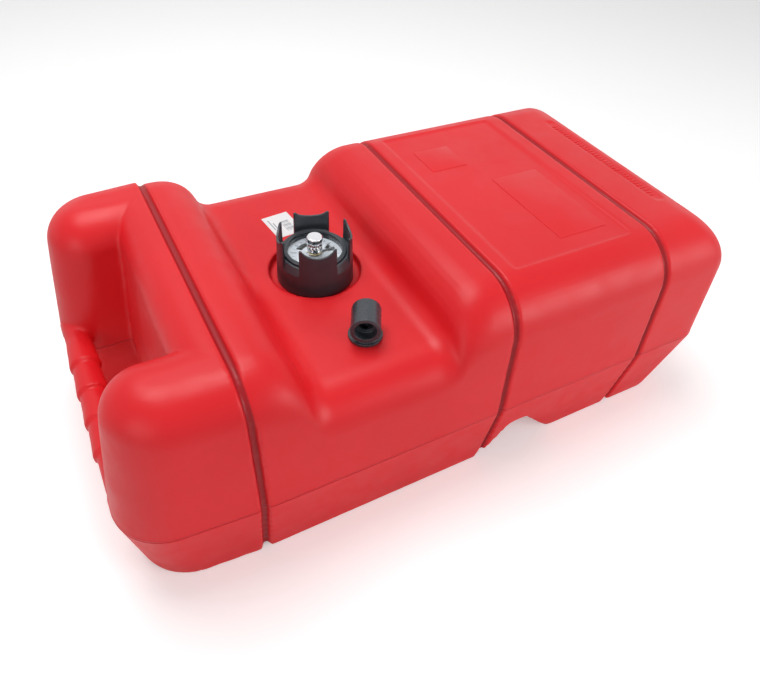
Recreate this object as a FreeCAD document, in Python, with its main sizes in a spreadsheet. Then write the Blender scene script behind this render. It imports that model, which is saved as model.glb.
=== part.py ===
import FreeCAD, Part
import Sketcher
import math
import os
import re

# Outboard fuel tank: a one-piece blow-moulded tank with a grip bar at one end,
# a castellated filler cap that holds a float gauge and a vent screw, and a
# swivelling fuel outlet. +Z is up, +X runs from the grip to the rear end, and
# the origin lies on the ground under the middle of the tank.

# Moulded tank, overall
tank_length = 647.5
tank_width = 356
tank_height = 231.4
parting_height = 92
wall = 4.5
parting_step = 0.5
# Draft of the walls, as the distance they lean in at the top and the base
top_side_lean = 8.5
top_front_lean = 22
top_rear_lean = 1
base_side_lean = 14
base_front_lean = 10
base_rear_lean = 4
ear_taper = 8
# Rounded edges
corner_radius = 22
base_corner_radius = 42
shoulder_radius = 52
rear_edge_radius = 48
ear_radius = 37
ear_corner_radius = 50
ear_inner_radius = 38
foot_corner_radius = 54
foot_inner_radius = 14
hump_radius = 46
deck_edge_radius = 38
# Strap grooves, each placed from the front end
first_groove = 117
second_groove = 366.4
third_groove = 551.7
groove_width = 7
groove_depth = 4.5
# Sunken deck between the front hump and the rear block
deck_drop = 45.4
hump_back = 129
block_front = 348
crest_radius = 40
deck_fillet = 20
hump_slope = 68
block_slope = 74
# Hand recess, ears and grip bar at the front end
ear_width = 102
ear_lean = 9
recess_depth = 64.5
recess_lean = 17.5
recess_edge_radius = 28
base_recess_lean = 6
grip_height = 106
grip_setback = 13.8
grip_radius = 13.6
grip_waist = 12.2
grip_bore = 8
grip_fingers = 4
# Arch across the underside
arch_front = 366
arch_peak = 401
arch_rear = 462
arch_height = 55
arch_flat = 20
arch_radius = 14
# Shallow panels on the rear block
panel_front = 384
panel_length = 146
panel_width = 257
panel_depth = 2
panel_corner = 6
strip_front = 595
strip_length = 14
strip_width = 192
strip_depth = 2
strip_corner = 6.5
# Filler well and neck
cap_from_front = 244
well_radius = 45.5
well_depth = 9
neck_bore = 27.5
neck_wall = 5.9
neck_rise = 10.5
# Filler cap collar
running_gap = 0.3
push_fit = 0.1
collar_wall = 4.3
collar_shelf = 14
collar_crown = 21.6
collar_lip = 31.2
collar_draft = 1
prong_top = 43.5
prong_tip = 1.9
prong_root = 3.2
prong_angle = 44
prong_count = 4
scoop_radius = 12
scoop_depth = 9.5
collar_turn = 72
collar_foot = 1
crown_width = 2
prong_lap = 1
# Gauge unit
gasket_thickness = 1.8
flange_thickness = 3
bezel_radius = 30.7
bezel_wall = 3.9
bezel_height = 5.3
lens_seat = 2.4
lens_thickness = 1.8
lens_hole = 4.6
ring_height = 1
dial_thickness = 0.8
dial_hole = 5
hub_radius = 3.4
hub_height = 1.8
pointer_length = 21
pointer_width = 2.2
pointer_thickness = 0.8
stub_radius = 15.6
stub_height = 8.3
# Vent screw in the lens
vent_bore = 2.6
vent_stem = 4.5
vent_flange = 7.5
vent_flange_height = 3
vent_taper = 0.6
nut_radius = 7.2
nut_height = 1.6
seal_radius = 6.4
seal_thickness = 1.2
shank_radius = 2.5
knob_radius = 8.8
knob_height = 6.2
knob_edge = 1
knob_under = 0.8
knob_groove = 1
groove_radius = 6.4
tier_radius = 7.6
tier_draft = 0.5
tier_height = 3.4
flute_radius = 0.85
flute_count = 14
# Float gauge inside the tank
rod_spacing = 13
rod_radius = 2
foot_radius = 18
foot_height = 5
foot_clearance = 4.5
float_radius = 21
float_height = 30
float_rest = 22
float_bore = 3
float_gap = 0.4
driver_radius = 6
driver_thickness = 1
strip_half_width = 2.2
strip_thickness = 0.8
slot_gap = 0.35
strip_twist = 2.2
strip_clearance = 1
pivot_radius = 1.5
pivot_gap = 0.08
# Fuel outlet on the deck
outlet_from_front = 245
outlet_inset = 70.5
outlet_heading = -118.5
outlet_gasket = 0.8
gasket_inset = 0.5
base_radius = 15.7
base_flange = 2.2
base_step_radius = 13.2
base_step = 1.2
spigot_radius = 9
spigot_length = 12
barrel_radius = 12
leg_foot = 0.3
barrel_front = 13.4
barrel_back = 15.4
barrel_edge = 1.5
port_radius = 5.9
port_depth = 19
port_chamfer = 1.5
stem_radius = 6
stem_length = 8
stem_end_gap = 0.4
passage_radius = 2.6
ring_wire = 0.9
tube_radius = 4.6
tube_wall = 1.2
filter_radius = 7.5
filter_height = 26
filter_clearance = 5.5
# Sticker on the deck
label_length = 30
label_width = 40
label_thickness = 0.25
label_from_front = 241.5
label_side = 80
label_turn = 6

doc = FreeCAD.newDocument("OutboardFuelTank")
sheet = doc.addObject("Spreadsheet::Sheet", "Sizes")
sizes = {name: value for name, value in globals().items() if isinstance(value, (int, float))}
aliases = list(sizes)
for row, alias in enumerate(aliases, 1):
    sheet.set("A%d" % row, alias)
    sheet.set("B%d" % row, str(sizes[alias]))
    sheet.setAlias("B%d" % row, alias)

# Sizes that follow from the driving ones
followers = {
    "deck_height": "=tank_height - deck_drop",
    "ear_gap": "=tank_width - 2 * ear_width",
    "outlet_side": "=tank_width / 2 - outlet_inset",
}
for row, (alias, formula) in enumerate(followers.items(), len(aliases) + 1):
    sheet.set("A%d" % row, alias)
    sheet.set("B%d" % row, formula)
    sheet.setAlias("B%d" % row, alias)
aliases += followers
doc.recompute()


def bound(expression):
    """Turn a formula of size names into one that any object can use."""
    def full_name(match):
        word = match.group(0)
        return "Sizes." + word if word in aliases else word

    return re.sub(r"[a-z][a-z_]+", full_name, expression)


def val(expression):
    """Work out a formula of size names as a plain number."""
    return float(sheet.evalExpression(expression))


# Places that several pieces share, as formulas of the driving sizes
FRONT = "(0 - tank_length / 2)"
CAP_X = "(cap_from_front - tank_length / 2)"
OUTLET_X = "(outlet_from_front - tank_length / 2)"
WELL_FLOOR = "(deck_height - well_depth)"
NECK_TOP = "(deck_height + neck_rise)"
NECK_RADIUS = "(neck_bore + neck_wall)"
FLANGE_BASE = "(deck_height + neck_rise + gasket_thickness)"
FLANGE_TOP = "(deck_height + neck_rise + gasket_thickness + flange_thickness)"
LENS_BASE = "(deck_height + neck_rise + gasket_thickness + flange_thickness + bezel_height)"
LENS_TOP = "(deck_height + neck_rise + gasket_thickness + flange_thickness + bezel_height + lens_thickness)"
SEAL_BASE = LENS_TOP[:-1] + " + vent_flange_height)"
SCREW_BASE = LENS_TOP[:-1] + " + vent_flange_height + seal_thickness)"
STUB_BASE = FLANGE_BASE[:-1] + " - stub_height)"
FOOT_BASE = "(wall + foot_clearance)"
FOOT_TOP = "(wall + foot_clearance + foot_height)"
DRIVER_BASE = "(float_rest + float_height)"
STEP_TOP = "(deck_height + outlet_gasket + base_flange + base_step)"
BARREL_AXIS = STEP_TOP[:-1] + " + running_gap + leg_foot + barrel_radius)"


# Moulded tank. Each segment between two strap grooves is a drafted block, and
# narrower cores join the segments at the grooves. Every face takes an inset,
# so that the same rules give the outside and the hollow inside it.

def vec(x, y, z):
    return FreeCAD.Vector(x, y, z)


def lean(z, at_top, at_base, upper):
    """How far a drafted wall leans in at height z, above or below the parting."""
    parting = val("parting_height")
    if upper:
        return at_top * (z - parting) / (val("tank_height") - parting)
    return at_base * (parting - z) / parting


def half_width(z, inset, upper=True):
    return val("tank_width / 2") - lean(z, val("top_side_lean"), val("base_side_lean"), upper) - inset


def front_face(z, inset, upper=True):
    return val(FRONT) + lean(z, val("top_front_lean"), val("base_front_lean"), upper) + inset


def rear_face(z, inset, upper=True):
    return val("tank_length / 2") - lean(z, val("top_rear_lean"), val("base_rear_lean"), upper) - inset


def recess_face(z, inset, upper=True):
    leaning = lean(z, val("recess_lean"), val("base_recess_lean"), upper)
    return val(FRONT + " + recess_depth") + leaning + inset


def ear_face(z, inset, upper=True):
    return val("ear_gap / 2") + lean(z, val("ear_lean"), val("base_recess_lean"), upper) + inset


def groove_side(name, way, inset):
    """Where a segment ends at a strap groove, on its front (-1) or rear (1) side."""
    return val(FRONT + " + " + name) + way * (val("groove_width / 2") + inset)


def outline(corners, radii, z):
    """A closed wire round the corners at height z, each corner with its own radius."""
    count = len(corners)
    ends = []
    for number in range(count):
        here = vec(*corners[number], z)
        behind = vec(*corners[number - 1], z) - here
        ahead = vec(*corners[(number + 1) % count], z) - here
        behind.normalize()
        ahead.normalize()
        inward = behind + ahead
        inward.normalize()
        half = behind.getAngle(ahead) / 2
        reach = radii[number] / math.tan(half)
        middle = here + inward * (radii[number] / math.sin(half) - radii[number])
        ends.append((here + behind * reach, middle, here + ahead * reach))
    edges = []
    for number in range(count):
        first, middle, last = ends[number]
        if radii[number] > 0:
            edges.append(Part.Arc(first, middle, last).toShape())
        edges.append(Part.LineSegment(last, ends[(number + 1) % count][0]).toShape())
    return Part.Wire(edges)


def drafted_block(corners_at, levels, radii):
    """A block between two levels, with the corners that corners_at(z) gives."""
    wires = [outline(corners_at(z), r, z) for z, r in zip(levels, radii)]
    return Part.makeLoft(wires, True, True)


def rectangle(x0, x1, half):
    return [(x0, -half), (x1, -half), (x1, half), (x0, half)]


def mirrored(shape):
    return shape.mirror(vec(0, 0, 0), vec(0, 1, 0))


def rounded(shape, radius_of):
    """Round every edge for which radius_of gives a radius."""
    core = doc.addObject("Part::Feature", "Core")
    core.Shape = shape
    rounding = doc.addObject("Part::Fillet", "Rounding")
    rounding.Base = core
    radii = [(number, radius_of(edge)) for number, edge in enumerate(core.Shape.Edges, 1)]
    rounding.Edges = [(number, r, r) for number, r in radii if r]
    doc.recompute()
    result = rounding.Shape.copy()
    doc.removeObject(rounding.Name)
    doc.removeObject(core.Name)
    return result


SQUARE = [[0, 0, 0, 0], [0, 0, 0, 0]]


def upper_levels(inset):
    """The upper pieces reach a little into the lower ones, which stand out a step."""
    return [val("parting_height - 2 * parting_step"), val("tank_height") - inset]


def ear_corners(z, inset, upper):
    """The corners of the ear at +Y, whose outer side narrows to the front."""
    front = front_face(z, inset, upper)
    inner = ear_face(z, inset, upper)
    outer = half_width(z, inset, upper)
    back = groove_side("first_groove", -1, inset)
    return [(front, inner), (back, inner), (back, outer), (front, outer - val("ear_taper"))]


def round_uprights(block, inset):
    """Round the two upright front edges of the ear, the outer one more than the inner one."""
    back = groove_side("first_groove", -1, inset)
    middle = val("(ear_gap + tank_width) / 4")
    for name, side in (("ear_corner_radius", 1), ("ear_inner_radius", -1)):
        picked = []
        for edge in block.Edges:
            place = edge.CenterOfMass
            if edge.BoundBox.ZLength > val("wall") and place.x < back - 1 and side * (place.y - middle) > 0:
                picked.append(edge)
        block = block.makeFillet(val(name) - inset, picked)
    return block


def upper_ear(inset):
    """The ear beside the hand recess, all its free edges rounded."""
    levels = upper_levels(inset)
    back = groove_side("first_groove", -1, inset)
    block = drafted_block(lambda z: ear_corners(z, inset, True), levels, SQUARE)
    block = round_uprights(block, inset)
    on_top = []
    for edge in block.Edges:
        place = edge.CenterOfMass
        if edge.BoundBox.ZLength < 1 and place.z > levels[1] - 1 and place.x < back - 1:
            on_top.append(edge)
    return block.makeFillet(val("ear_radius") - inset, on_top)


def front_hump(inset):
    """The hump between the ears, with a rounded edge over the hand recess."""
    base, top = upper_levels(inset)
    back = groove_side("first_groove", -1, inset)
    side = half_width(top, 0) - val("ear_radius")
    profile = [vec(recess_face(base, inset), -side, base), vec(recess_face(top, inset), -side, top)]
    profile += [vec(back, -side, top), vec(back, -side, base)]
    block = Part.Face(Part.makePolygon(profile + profile[:1])).extrude(vec(0, 2 * side, 0))
    over_recess = []
    for edge in block.Edges:
        middle = edge.CenterOfMass
        if middle.z > top - 1 and middle.x < back - 1 and edge.BoundBox.YLength > side:
            over_recess.append(edge)
    return block.makeFillet(val("recess_edge_radius") - inset, over_recess)


def crest_slope(inset, flat_edge, way, degrees):
    """Points (x, z) down one slope, from the flat top to the flat deck."""
    crest = val("crest_radius")
    hollow = val("deck_fillet")
    top = val("tank_height")
    deck = val("deck_height")
    angle = math.radians(degrees)
    drop = top - deck - (crest + hollow) * (1 - math.cos(angle))
    run = (crest + hollow) * math.sin(angle) + drop / math.tan(angle)
    steps = 8
    points = []
    for step in range(steps + 1):
        turn = angle * step / steps
        z = top - crest + (crest - inset) * math.cos(turn)
        points.append((flat_edge + way * (crest - inset) * math.sin(turn), z))
    for step in range(steps, -1, -1):
        turn = angle * step / steps
        x = flat_edge + way * (run - (hollow + inset) * math.sin(turn))
        points.append((x, deck + hollow - (hollow + inset) * math.cos(turn)))
    return points


def upper_section(x, base, crest, radius, inset):
    """The cross-section above the parting line at one place along the tank."""
    draft = val("top_side_lean / (tank_height - parting_height)")
    stretch = math.sqrt(1 + draft * draft)
    foot = half_width(base, inset)
    centre_z = crest - radius
    centre_y = half_width(centre_z, inset) - radius * stretch
    turn = (math.pi / 2 - math.atan(draft)) / 2
    right = [vec(x, centre_y, crest)]
    right.append(vec(x, centre_y + radius * math.sin(turn), centre_z + radius * math.cos(turn)))
    right.append(vec(x, centre_y + radius / stretch, centre_z + radius * draft / stretch))
    left = [vec(x, -p.y, p.z) for p in right]
    feet = [vec(x, foot, base), vec(x, -foot, base)]
    edges = [Part.LineSegment(feet[1], feet[0]).toShape()]
    edges.append(Part.LineSegment(feet[0], right[2]).toShape())
    edges.append(Part.Arc(right[2], right[1], right[0]).toShape())
    edges.append(Part.LineSegment(right[0], left[0]).toShape())
    edges.append(Part.Arc(left[0], left[1], left[2]).toShape())
    edges.append(Part.LineSegment(left[2], feet[1]).toShape())
    return Part.Wire(edges)


def upper_middle(inset):
    """Hump, slope, sunken deck, slope and the start of the block, end to end."""
    base, top = upper_levels(inset)
    deck = val("deck_height") - inset
    down = crest_slope(inset, val(FRONT + " + hump_back"), 1, val("hump_slope"))
    up = crest_slope(inset, val(FRONT + " + block_front"), -1, val("block_slope"))[::-1]
    stations = [(groove_side("first_groove", 1, inset), top)] + down
    stations += up + [(groove_side("second_groove", -1, inset), top)]
    wires = []
    for number, (x, z) in enumerate(stations):
        full = val("hump_radius") if number < len(stations) / 2 else val("shoulder_radius")
        share = (z - deck) / (top - deck)
        radius = val("deck_edge_radius") + (full - val("deck_edge_radius")) * share - inset
        wires.append(upper_section(x, base, z, radius, inset))
    return Part.makeLoft(wires, True, True)


def upper_block(inset):
    """The plain stretch of the rear block between its two grooves."""
    base, top = upper_levels(inset)
    front = groove_side("second_groove", 1, inset)
    back = groove_side("third_groove", -1, inset)
    section = upper_section(front, base, top, val("shoulder_radius") - inset, inset)
    return Part.Face(section).extrude(vec(back - front, 0, 0))


def upper_rear(inset):
    """The rear end of the block, rounded over its corners and edges."""
    levels = upper_levels(inset)
    front = groove_side("third_groove", 1, inset)

    def corners_at(z):
        return rectangle(front, rear_face(z, inset), half_width(z, inset))

    def radius_of(edge):
        middle = edge.CenterOfMass
        if edge.BoundBox.ZLength > val("wall"):
            return val("corner_radius") - inset if middle.x > front + 1 else 0
        if middle.z < levels[1] - 1 or middle.x < front + 1:
            return 0
        along = edge.BoundBox.XLength > edge.BoundBox.YLength
        return val("shoulder_radius" if along else "rear_edge_radius") - inset

    return rounded(drafted_block(corners_at, levels, SQUARE), radius_of)


def lower_block(corners_at, radii, inset):
    """A segment below the parting line, which stands out from the upper one."""
    grown = inset - val("parting_step")
    levels = [val("parting_height"), inset]
    drawn = [[max(r - inset, 1) if r else 0 for r in corner] for corner in radii]
    return drafted_block(lambda z: corners_at(z, grown), levels, drawn)


def lower_pieces(inset):
    r = val("corner_radius")
    low = val("base_corner_radius")
    first = [groove_side("first_groove", way, inset) for way in (-1, 1)]
    second = [groove_side("second_groove", way, inset) for way in (-1, 1)]
    third = [groove_side("third_groove", way, inset) for way in (-1, 1)]
    at_front = [[val("ear_inner_radius"), 0, 0, val("ear_corner_radius")]]
    at_front.append([val("foot_inner_radius"), 0, 0, val("foot_corner_radius")])
    at_rear = [[0, r, r, 0], [0, low, low, 0]]

    def foot(z, grown):
        corners = ear_corners(z, grown, False)
        return [corners[0], (first[0], corners[1][1]), (first[0], corners[2][1]), corners[3]]

    def bridge(z, grown):
        half = (ear_face(z, grown, False) + half_width(z, grown, False)) / 2
        return rectangle(recess_face(z, grown, False), first[0], half)

    def front(z, grown):
        return rectangle(first[1], second[0], half_width(z, grown, False))

    def middle(z, grown):
        return rectangle(second[1], third[0], half_width(z, grown, False))

    def rear(z, grown):
        return rectangle(third[1], rear_face(z, grown, False), half_width(z, grown, False))

    ear = lower_block(foot, at_front, inset)
    pieces = [ear, mirrored(ear)]
    for corners_at in (bridge, front, middle):
        pieces.append(lower_block(corners_at, SQUARE, inset))
    pieces.append(lower_block(rear, at_rear, inset))
    return pieces


def groove_core(name, radius, inset):
    """The narrower section that shows as the floor of a strap groove."""
    deep = inset + val("groove_depth")
    lap = val("wall")
    front = groove_side(name, -1, inset) - lap
    length = val("groove_width") + 2 * inset + 2 * lap
    parting = val("parting_height")
    top = upper_section(front, parting, val("tank_height") - deep, val(radius) - deep, deep)
    upper = Part.Face(top).extrude(vec(length, 0, 0))
    wide = half_width(parting, deep)
    narrow = half_width(deep, deep, False)
    corners = [vec(front, -wide, parting), vec(front, wide, parting)]
    corners += [vec(front, narrow, deep), vec(front, -narrow, deep)]
    lower = Part.Face(Part.makePolygon(corners + corners[:1])).extrude(vec(length, 0, 0))
    return upper.fuse(lower).removeSplitter()


def bulk(inset):
    """The whole moulded form, drawn in by the inset, before its cuts."""
    ear = upper_ear(inset)
    pieces = [mirrored(ear), front_hump(inset), upper_middle(inset), upper_block(inset), upper_rear(inset)]
    pieces += lower_pieces(inset)
    pieces.append(groove_core("first_groove", "ear_radius", inset))
    pieces.append(groove_core("second_groove", "shoulder_radius", inset))
    pieces.append(groove_core("third_groove", "shoulder_radius", inset))
    return ear.multiFuse(pieces)


def arch_tool(extra):
    """The arch across the underside as a bar along Y."""
    width = val("tank_width")
    below = -0.5
    peak = val("arch_height") + extra
    front = val(FRONT + " + arch_front") - extra
    rear = val(FRONT + " + arch_rear") + extra
    middle = val(FRONT + " + arch_peak")
    flat = val("arch_flat / 2")
    profile = [(front, below), (middle - flat, peak), (middle + flat, peak), (rear, below)]
    points = [vec(x, -width, z) for x, z in profile]
    arch = Part.Face(Part.makePolygon(points + points[:1])).extrude(vec(0, 2 * width, 0))
    corner = vec(front - 2 * width, -width, below - width)
    tool = arch.fuse(Part.makeBox(rear - front + 4 * width, 2 * width, width, corner)).removeSplitter()
    across = [e for e in tool.Edges if e.BoundBox.YLength > width]
    bends = [e for e in across if front - 1 < e.CenterOfMass.x < rear + 1]
    return tool.makeFillet(val("arch_radius") - extra / 2, bends)


def top_pocket(name, corner, extra):
    """One shallow pocket in the top of the rear block, its corners rounded."""
    top = val("tank_height")
    length = val(name + "_length") + 2 * extra
    width = val(name + "_width") + 2 * extra
    front = val(FRONT + " + " + name + "_front") - extra
    floor = top - val(name + "_depth") - extra
    pocket = Part.makeBox(length, width, top, vec(front, -width / 2, floor))
    upright = [e for e in pocket.Edges if e.BoundBox.ZLength > top / 2]
    return pocket.makeFillet(corner, upright)


def panel_tool(extra):
    """The shallow panel and the strip on top of the rear block."""
    panel = top_pocket("panel", val("panel_corner"), extra)
    return panel.fuse(top_pocket("strip", val("strip_corner"), extra))


def well_tool(extra):
    """The round well that the filler cap stands in."""
    radius = val("well_radius") + extra
    floor = val(WELL_FLOOR) - extra
    well = Part.makeCylinder(radius, val("tank_height"), vec(val(CAP_X), 0, floor))
    low = [e for e in well.Edges if e.CenterOfMass.z < floor + 1 and e.BoundBox.XLength > radius]
    return well.makeFillet(val("wall / 2"), low)


def grip_bar():
    """The grip across the front, which ends behind the rounded fronts of the ears."""
    x = val(FRONT + " + grip_setback")
    z = val("grip_height")
    fingers = int(val("grip_fingers"))
    gap = val("ear_gap")
    waist = val("grip_waist")
    swell = val("grip_radius")
    reach = gap / 2 + val("ear_inner_radius")
    edges = [Part.LineSegment(vec(x, -reach, z), vec(x, -reach, z + waist)).toShape()]
    edges.append(Part.LineSegment(vec(x, -reach, z + waist), vec(x, -gap / 2, z + waist)).toShape())
    for number in range(fingers):
        y0 = -gap / 2 + gap * number / fingers
        y1 = -gap / 2 + gap * (number + 1) / fingers
        crown = vec(x, (y0 + y1) / 2, z + swell)
        edges.append(Part.Arc(vec(x, y0, z + waist), crown, vec(x, y1, z + waist)).toShape())
    edges.append(Part.LineSegment(vec(x, gap / 2, z + waist), vec(x, reach, z + waist)).toShape())
    edges.append(Part.LineSegment(vec(x, reach, z + waist), vec(x, reach, z)).toShape())
    edges.append(Part.LineSegment(vec(x, reach, z), vec(x, -reach, z)).toShape())
    return Part.Face(Part.Wire(edges)).revolve(vec(x, 0, z), vec(0, 1, 0), 360)


def grip_hollow():
    """The bore that joins the hollow of the bar to the hollow of the ears."""
    reach = val("ear_gap / 2 + 5 * wall")
    end = vec(val(FRONT + " + grip_setback"), -reach, val("grip_height"))
    return Part.makeCylinder(val("grip_bore"), 2 * reach, end, vec(0, 1, 0))


def tank_shape():
    wall = val("wall")
    outside = bulk(0).cut([arch_tool(0), panel_tool(0), well_tool(0)])
    hollow = bulk(wall).cut([arch_tool(wall), panel_tool(wall), well_tool(wall)])
    neck_base = vec(val(CAP_X), 0, val(WELL_FLOOR) - wall)
    neck = Part.makeCylinder(val(NECK_RADIUS), val(NECK_TOP) - neck_base.z, neck_base)
    mouth = Part.makeCylinder(val("neck_bore"), val("tank_height"), neck_base - vec(0, 0, wall))
    below_deck = vec(val(OUTLET_X), -val("outlet_side"), val("deck_height") - 2 * wall)
    spud = Part.makeCylinder(val("spigot_radius"), val("tank_height"), below_deck)
    return outside.fuse([grip_bar(), neck]).cut([hollow, grip_hollow(), mouth, spud]).removeSplitter()


tank = doc.addObject("Part::Feature", "tank_shell")
tank.Label = "tank_shell"
tank.Shape = tank_shape()
tank.Placement = FreeCAD.Placement()
made = [tank]


# Turned pieces: a closed profile of (radius, height) formulas on the XZ plane

def new_body(label, x="0", y="0", z="0", turn="0"):
    body = doc.addObject("PartDesign::Body", label)
    body.Label = label
    for axis, formula in (("x", x), ("y", y), ("z", z)):
        body.setExpression(".Placement.Base." + axis, bound(formula))
    body.setExpression(".Placement.Rotation.Angle", bound(turn))
    made.append(body)
    return body


def plane_of(body, role):
    return [o for o in body.Origin.OriginFeatures if o.Role == role][0]


def profile_sketch(body, name, points, role="XZ_Plane"):
    """A closed outline of straight edges, each corner tied to two formulas."""
    sketch = body.newObject("Sketcher::SketchObject", name)
    sketch.AttachmentSupport = (plane_of(body, role), [""])
    sketch.MapMode = "FlatFace"
    places = [vec(val(u), val(v), 0) for u, v in points]
    count = len(places)
    for number in range(count):
        side = Part.LineSegment(places[number], places[(number + 1) % count])
        sketch.addGeometry(side, False)
    for number in range(count):
        sketch.addConstraint(Sketcher.Constraint("Coincident", number, 2, (number + 1) % count, 1))
    for number, (u, v) in enumerate(points):
        place = places[number]
        for kind, formula, at, axis in (("DistanceX", u, place.x, -2), ("DistanceY", v, place.y, -1)):
            if formula == "0":
                sketch.addConstraint(Sketcher.Constraint("PointOnObject", number, 1, axis))
            else:
                index = sketch.addConstraint(Sketcher.Constraint(kind, -1, 1, number, 1, at))
                sketch.setExpression("Constraints[%d]" % index, bound(formula))
    return sketch


def revolve(body, name, points, angle="360", centred=False):
    sketch = profile_sketch(body, name + "Profile", points)
    turned = body.newObject("PartDesign::Revolution", name)
    turned.Profile = sketch
    turned.ReferenceAxis = (sketch, ["V_Axis"])
    turned.Midplane = centred
    turned.setExpression("Angle", bound(angle))
    body.Tip = turned
    return turned


def turned_piece(label, points, x=CAP_X, y="0"):
    body = new_body(label, x, y)
    revolve(body, "Turned", points)
    return body


def tube_profile(inner, outer, low, high):
    return [(inner, low), (outer, low), (outer, high), (inner, high)]


def cylinder(name, radius, low, high, x, y="0"):
    rod = doc.addObject("Part::Cylinder", name)
    rod.setExpression("Radius", bound(radius))
    rod.setExpression("Height", bound("(%s) - (%s)" % (high, low)))
    rod.setExpression(".Placement.Base.x", bound(x))
    rod.setExpression(".Placement.Base.y", bound(y))
    rod.setExpression(".Placement.Base.z", bound(low))
    return rod


def box(name, length, width, height, x, y, z):
    block = doc.addObject("Part::Box", name)
    for prop, formula in (("Length", length), ("Width", width), ("Height", height)):
        block.setExpression(prop, bound(formula))
    for axis, formula in (("x", x), ("y", y), ("z", z)):
        block.setExpression(".Placement.Base." + axis, bound(formula))
    return block


def cut(label, base, tools):
    if len(tools) > 1:
        tool = doc.addObject("Part::MultiFuse", label + "_tools")
        tool.Shapes = tools
    else:
        tool = tools[0]
    result = doc.addObject("Part::Cut", label)
    result.Base = base
    result.Tool = tool
    result.Label = label
    return result


def fuse(label, shapes):
    result = doc.addObject("Part::MultiFuse", label)
    result.Shapes = shapes
    result.Label = label
    return result


# Filler cap collar: a threaded ring nut with four scooped prongs

collar = new_body("cap_collar", CAP_X, "0", "0", "collar_turn")
COLLAR_BORE = "(neck_bore + neck_wall + running_gap)"
SHELF = "(deck_height + collar_shelf)"
CROWN = "(deck_height + collar_crown)"
LIP_BASE = "(deck_height + neck_rise + gasket_thickness + flange_thickness + running_gap)"
revolve(collar, "Ring", [
    (COLLAR_BORE, "deck_height - well_depth + collar_foot"),
    (COLLAR_BORE + " + collar_wall", "deck_height - well_depth + collar_foot"),
    (COLLAR_BORE + " + collar_wall - collar_draft", SHELF),
    ("collar_lip + crown_width", CROWN),
    ("collar_lip", CROWN),
    ("collar_lip", LIP_BASE),
    (COLLAR_BORE, LIP_BASE),
])
prong = revolve(collar, "Prong", [
    (COLLAR_BORE + " + collar_wall - collar_draft - prong_root", SHELF + " - prong_lap"),
    (COLLAR_BORE + " + collar_wall - collar_draft", SHELF + " - prong_lap"),
    (COLLAR_BORE + " + collar_wall - 2 * collar_draft", "deck_height + prong_top"),
    (COLLAR_BORE + " + collar_wall - 2 * collar_draft - prong_tip", "deck_height + prong_top"),
], "prong_angle", True)
doc.recompute()


def scoop(body):
    """A round bite out of a prong's top, across the wall."""
    sketch = body.newObject("Sketcher::SketchObject", "ScoopCircle")
    sketch.AttachmentSupport = (plane_of(body, "YZ_Plane"), [""])
    sketch.MapMode = "FlatFace"
    centre = "(deck_height + prong_top - scoop_depth + scoop_radius)"
    circle = Part.Circle(vec(0, val(centre), 0), vec(0, 0, 1), val("scoop_radius"))
    sketch.addGeometry(circle, False)
    sketch.addConstraint(Sketcher.Constraint("PointOnObject", 0, 3, -2))
    index = sketch.addConstraint(Sketcher.Constraint("DistanceY", -1, 1, 0, 3, val(centre)))
    sketch.setExpression("Constraints[%d]" % index, bound(centre))
    index = sketch.addConstraint(Sketcher.Constraint("Radius", 0, val("scoop_radius")))
    sketch.setExpression("Constraints[%d]" % index, bound("scoop_radius"))
    pocket = body.newObject("PartDesign::Pocket", "Scoop")
    pocket.Profile = sketch
    pocket.Type = "ThroughAll"
    pocket.Midplane = True
    return pocket


bite = scoop(collar)
ring_of_prongs = collar.newObject("PartDesign::PolarPattern", "Prongs")
ring_of_prongs.Originals = [prong, bite]
ring_of_prongs.Axis = (plane_of(collar, "Z_Axis"), [""])
ring_of_prongs.Angle = 360
ring_of_prongs.setExpression("Occurrences", bound("prong_count"))
collar.Tip = ring_of_prongs
doc.recompute()

# Gauge unit that the collar clamps on the neck

FLANGE_RADIUS = NECK_RADIUS[:-1] + " - running_gap)"
BEZEL_BORE = "(bezel_radius - bezel_wall)"
SEAT_RADIUS = "(bezel_radius - bezel_wall + lens_seat)"
LENS_RADIUS = "(bezel_radius - bezel_wall + lens_seat - push_fit)"
RING_TOP = LENS_TOP[:-1] + " + ring_height)"
DIAL_TOP = FLANGE_TOP[:-1] + " + dial_thickness)"
PIVOT_BORE = "(pivot_radius + pivot_gap)"
turned_piece("neck_gasket", tube_profile("neck_bore", FLANGE_RADIUS, NECK_TOP, FLANGE_BASE))

turned_piece("gauge_housing", [
    (PIVOT_BORE, STUB_BASE),
    ("stub_radius", STUB_BASE),
    ("stub_radius", FLANGE_BASE),
    (FLANGE_RADIUS, FLANGE_BASE),
    (FLANGE_RADIUS, FLANGE_TOP),
    ("bezel_radius", FLANGE_TOP),
    ("bezel_radius", RING_TOP),
    (SEAT_RADIUS, RING_TOP),
    (SEAT_RADIUS, LENS_BASE),
    (BEZEL_BORE, LENS_BASE),
    (BEZEL_BORE, FLANGE_TOP),
    (PIVOT_BORE, FLANGE_TOP),
])

turned_piece("gauge_dial", tube_profile("dial_hole", BEZEL_BORE + " - push_fit", FLANGE_TOP, DIAL_TOP))
turned_piece("gauge_lens", tube_profile("lens_hole", LENS_RADIUS, LENS_BASE, LENS_TOP))
turned_piece("lens_ring", tube_profile(BEZEL_BORE, LENS_RADIUS, LENS_TOP, RING_TOP))

# Vent: a bushing through the lens, its nut, a seal and the thumb screw

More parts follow.
